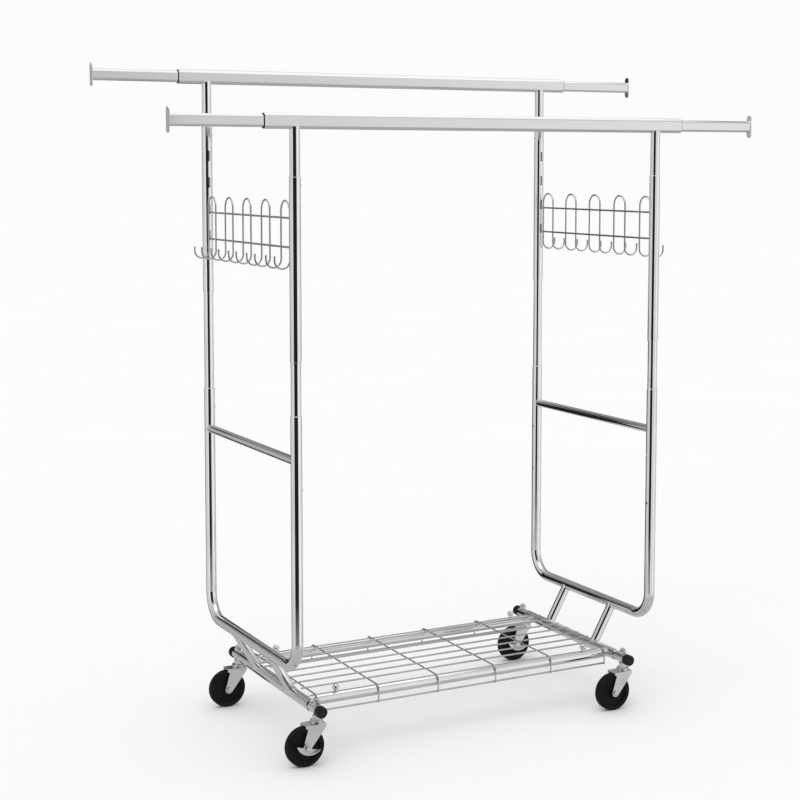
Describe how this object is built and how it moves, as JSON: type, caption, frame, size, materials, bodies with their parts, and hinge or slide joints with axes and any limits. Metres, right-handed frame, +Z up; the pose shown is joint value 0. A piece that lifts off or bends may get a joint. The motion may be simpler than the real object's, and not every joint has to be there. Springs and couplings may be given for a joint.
{
  "type": "rolling clothes rack",
  "caption": "Wheeled metal clothes rack with staggered hanging rails that telescope, height-adjustable posts, hook panels at the ends, a wire shelf over the base and swivel casters.",
  "frame": {"origin": "on the floor, under the middle of the rack", "axes": "+X along the rails towards the right, +Y from the front rail to the back rail, +Z up"},
  "size_m": [1.672, 0.6008, 1.734],
  "materials": {
    "chrome_tube": "bright chrome plate",
    "satin_rail": "satin chrome plate",
    "chrome_wire": "bright chrome plate",
    "zinc_plate": "zinc-plated pressed steel",
    "zinc_fastener": "zinc-plated fasteners",
    "spring_steel": "blued spring steel",
    "clear_nylon": "natural nylon",
    "black_plastic": "moulded black plastic",
    "tread_rubber": "matte black rubber"
  },
  "bodies": {
    "base": {"left_u_frame": "chrome_tube", "right_u_frame": "chrome_tube", "crossbars": "chrome_tube", "side_struts": "chrome_tube", "leg_collars": "clear_nylon", "left_end_tube": "chrome_tube", "right_end_tube": "chrome_tube", "left_sleeve": "chrome_tube", "right_sleeve": "chrome_tube", "base_rails": "chrome_tube", "base_rail_stubs": "chrome_tube", "end_caps": "black_plastic", "caster_stems": "zinc_fastener", "stem_nuts": "zinc_fastener", "shelf_long_wires": "chrome_wire", "shelf_cross_wires": "chrome_wire"},
    "front_frame": {"front_top_rail": "satin_rail", "front_stub_tubes": "chrome_tube", "front_slotted_tubes": "chrome_tube", "front_inner_tubes": "chrome_tube", "front_rail_bushings": "black_plastic", "front_button_springs": "spring_steel"},
    "back_frame": {"back_top_rail": "satin_rail", "back_stub_tubes": "chrome_tube", "back_slotted_tubes": "chrome_tube", "back_inner_tubes": "chrome_tube", "back_rail_bushings": "black_plastic", "back_button_springs": "spring_steel"},
    "front_left_extension": {"front_left_extension": "satin_rail"},
    "lower_button_front_left": {"lower_button_front_left": "chrome_tube"},
    "upper_button_front_left": {"upper_button_front_left": "chrome_tube"},
    "front_right_extension": {"front_right_extension": "satin_rail"},
    "lower_button_front_right": {"lower_button_front_right": "chrome_tube"},
    "upper_button_front_right": {"upper_button_front_right": "chrome_tube"},
    "back_left_extension": {"back_left_extension": "satin_rail"},
    "lower_button_back_left": {"lower_button_back_left": "chrome_tube"},
    "upper_button_back_left": {"upper_button_back_left": "chrome_tube"},
    "back_right_extension": {"back_right_extension": "satin_rail"},
    "lower_button_back_right": {"lower_button_back_right": "chrome_tube"},
    "upper_button_back_right": {"upper_button_back_right": "chrome_tube"},
    "left_hook_panel": {"left_hook_panel": "chrome_wire"},
    "right_hook_panel": {"right_hook_panel": "chrome_wire"},
    "caster_front_left": {"fork_front_left": "zinc_plate", "axle_front_left": "zinc_fastener"},
    "wheel_front_left": {"wheel_front_left": "tread_rubber"},
    "brake_front_left": {"brake_front_left": "zinc_plate"},
    "knob_front_left": {"knob_front_left": "chrome_tube"},
    "caster_front_right": {"fork_front_right": "zinc_plate", "axle_front_right": "zinc_fastener"},
    "wheel_front_right": {"wheel_front_right": "tread_rubber"},
    "knob_front_right": {"knob_front_right": "chrome_tube"},
    "caster_back_left": {"fork_back_left": "zinc_plate", "axle_back_left": "zinc_fastener"},
    "wheel_back_left": {"wheel_back_left": "tread_rubber"},
    "knob_back_left": {"knob_back_left": "chrome_tube"},
    "caster_back_right": {"fork_back_right": "zinc_plate", "axle_back_right": "zinc_fastener"},
    "wheel_back_right": {"wheel_back_right": "tread_rubber"},
    "brake_back_right": {"brake_back_right": "zinc_plate"},
    "knob_back_right": {"knob_back_right": "chrome_tube"}
  },
  "joints": [
    {"name": "front_height", "type": "slide", "parent": "base", "child": "front_frame", "axis": [0, 0, 1], "range_m": [-0.1285, 0.1285]},
    {"name": "back_height", "type": "slide", "parent": "base", "child": "back_frame", "axis": [0, 0, 1], "range_m": [-0.257, 0]},
    {"name": "front_left_extension_slide", "type": "slide", "parent": "front_frame", "child": "front_left_extension", "axis": [-1, 0, 0], "range_m": [-0.228, 0.04]},
    {"name": "lower_button_front_left_press", "type": "slide", "parent": "base", "child": "lower_button_front_left", "axis": [-1, 0, 0], "range_m": [0, 0.003], "stiffness_N_per_m": 1500},
    {"name": "upper_button_front_left_press", "type": "slide", "parent": "front_frame", "child": "upper_button_front_left", "axis": [-1, 0, 0], "range_m": [0, 0.003], "stiffness_N_per_m": 1500},
    {"name": "front_right_extension_slide", "type": "slide", "parent": "front_frame", "child": "front_right_extension", "axis": [1, 0, 0], "range_m": [-0.228, 0.04]},
    {"name": "lower_button_front_right_press", "type": "slide", "parent": "base", "child": "lower_button_front_right", "axis": [1, 0, 0], "range_m": [0, 0.003], "stiffness_N_per_m": 1500},
    {"name": "upper_button_front_right_press", "type": "slide", "parent": "front_frame", "child": "upper_button_front_right", "axis": [1, 0, 0], "range_m": [0, 0.003], "stiffness_N_per_m": 1500},
    {"name": "back_left_extension_slide", "type": "slide", "parent": "back_frame", "child": "back_left_extension", "axis": [-1, 0, 0], "range_m": [-0.228, 0.04]},
    {"name": "lower_button_back_left_press", "type": "slide", "parent": "base", "child": "lower_button_back_left", "axis": [-1, 0, 0], "range_m": [0, 0.003], "stiffness_N_per_m": 1500},
    {"name": "upper_button_back_left_press", "type": "slide", "parent": "back_frame", "child": "upper_button_back_left", "axis": [-1, 0, 0], "range_m": [0, 0.003], "stiffness_N_per_m": 1500},
    {"name": "back_right_extension_slide", "type": "slide", "parent": "back_frame", "child": "back_right_extension", "axis": [1, 0, 0], "range_m": [-0.228, 0.04]},
    {"name": "lower_button_back_right_press", "type": "slide", "parent": "base", "child": "lower_button_back_right", "axis": [1, 0, 0], "range_m": [0, 0.003], "stiffness_N_per_m": 1500},
    {"name": "upper_button_back_right_press", "type": "slide", "parent": "back_frame", "child": "upper_button_back_right", "axis": [1, 0, 0], "range_m": [0, 0.003], "stiffness_N_per_m": 1500},
    {"name": "left_hook_panel_lift", "type": "slide", "parent": "front_frame", "child": "left_hook_panel", "axis": [0, 0, 1], "range_m": [0, 0.02]},
    {"name": "right_hook_panel_lift", "type": "slide", "parent": "front_frame", "child": "right_hook_panel", "axis": [0, 0, 1], "range_m": [0, 0.02]},
    {"name": "caster_front_left_swivel", "type": "hinge", "parent": "base", "child": "caster_front_left", "pos_m": [-0.4575, -0.256, 0.11], "axis": [0, 0, 1], "continuous": true},
    {"name": "wheel_front_left_roll", "type": "hinge", "parent": "caster_front_left", "child": "wheel_front_left", "pos_m": [-0.4905, -0.256, 0.05], "axis": [0, 1, 0], "continuous": true},
    {"name": "brake_front_left_rock", "type": "hinge", "parent": "caster_front_left", "child": "brake_front_left", "pos_m": [-0.4905, -0.256, 0.05], "axis": [0, 1, 0], "range_deg": [-20, 20]},
    {"name": "knob_front_left_turn", "type": "hinge", "parent": "base", "child": "knob_front_left", "pos_m": [-0.373, -0.189, 0.15], "axis": [0, 0, 1], "continuous": true},
    {"name": "caster_front_right_swivel", "type": "hinge", "parent": "base", "child": "caster_front_right", "pos_m": [0.4575, -0.256, 0.11], "axis": [0, 0, 1], "continuous": true},
    {"name": "wheel_front_right_roll", "type": "hinge", "parent": "caster_front_right", "child": "wheel_front_right", "pos_m": [0.4245, -0.256, 0.05], "axis": [0, 1, 0], "continuous": true},
    {"name": "knob_front_right_turn", "type": "hinge", "parent": "base", "child": "knob_front_right", "pos_m": [0.373, -0.189, 0.15], "axis": [0, 0, 1], "continuous": true},
    {"name": "caster_back_left_swivel", "type": "hinge", "parent": "base", "child": "caster_back_left", "pos_m": [-0.4575, 0.256, 0.11], "axis": [0, 0, 1], "continuous": true},
    {"name": "wheel_back_left_roll", "type": "hinge", "parent": "caster_back_left", "child": "wheel_back_left", "pos_m": [-0.4905, 0.256, 0.05], "axis": [0, 1, 0], "continuous": true},
    {"name": "knob_back_left_turn", "type": "hinge", "parent": "base", "child": "knob_back_left", "pos_m": [-0.373, 0.189, 0.15], "axis": [0, 0, 1], "continuous": true},
    {"name": "caster_back_right_swivel", "type": "hinge", "parent": "base", "child": "caster_back_right", "pos_m": [0.4575, 0.256, 0.11], "axis": [0, 0, 1], "continuous": true},
    {"name": "wheel_back_right_roll", "type": "hinge", "parent": "caster_back_right", "child": "wheel_back_right", "pos_m": [0.4245, 0.256, 0.05], "axis": [0, 1, 0], "continuous": true},
    {"name": "brake_back_right_rock", "type": "hinge", "parent": "caster_back_right", "child": "brake_back_right", "pos_m": [0.4245, 0.256, 0.05], "axis": [0, 1, 0], "range_deg": [-20, 20]},
    {"name": "knob_back_right_turn", "type": "hinge", "parent": "base", "child": "knob_back_right", "pos_m": [0.373, 0.189, 0.15], "axis": [0, 0, 1], "continuous": true}
  ]
}
